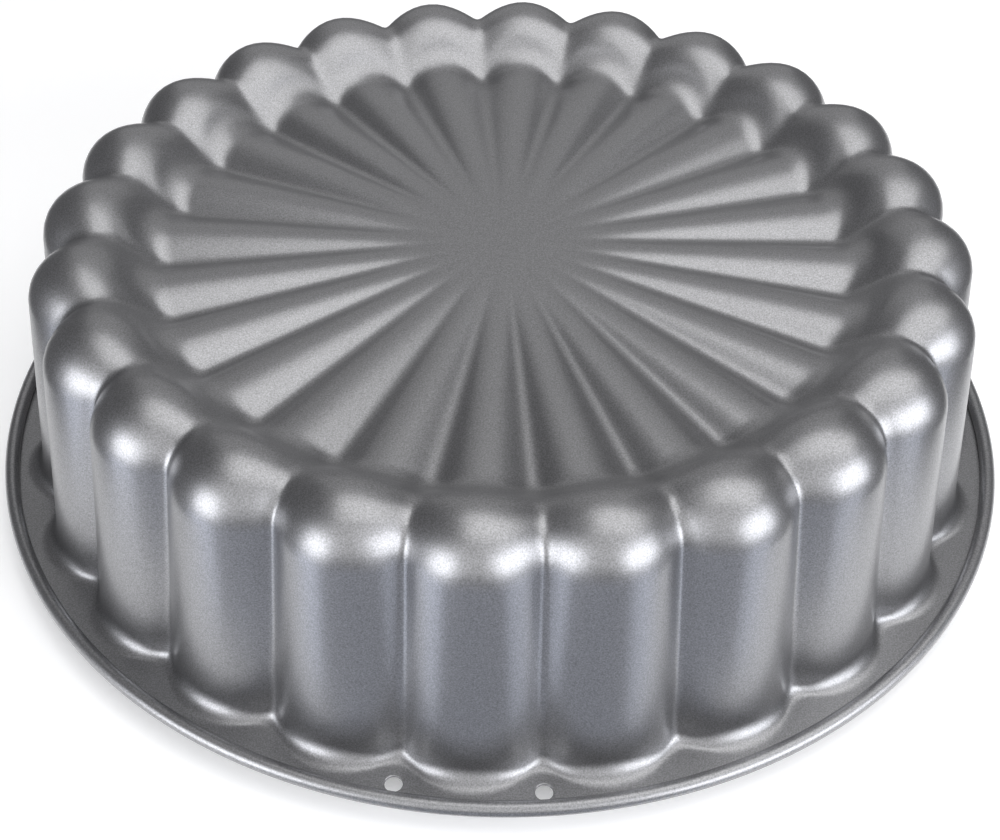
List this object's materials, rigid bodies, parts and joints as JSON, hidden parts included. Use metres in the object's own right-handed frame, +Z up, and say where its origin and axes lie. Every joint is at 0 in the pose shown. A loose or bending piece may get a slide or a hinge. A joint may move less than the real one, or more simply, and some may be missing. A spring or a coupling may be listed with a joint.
{
  "type": "charlotte mould",
  "caption": "Fluted round cake mould of coated steel sheet with a petal-patterned base, rounded ring, scalloped wall and flat flange with a curled, wired rim and hanging holes, mouth down.",
  "frame": {"origin": "on the mould's axis in the plane that the rim rests on, at the bottom centre of its bounding box", "axes": "+Z up along the mould's axis, towards the petal-patterned base; -Y towards the flute between the two hanging holes; mouth down, as pictured"},
  "size_m": [0.28, 0.28, 0.07],
  "materials": {
    "coated_steel": "satin silver-grey metallic non-stick coating with a fine speckle",
    "wire_steel": "plain drawn wire"
  },
  "bodies": {
    "root": {"pressed_shell": "coated_steel", "rim_wire": "wire_steel"}
  },
  "joints": []
}
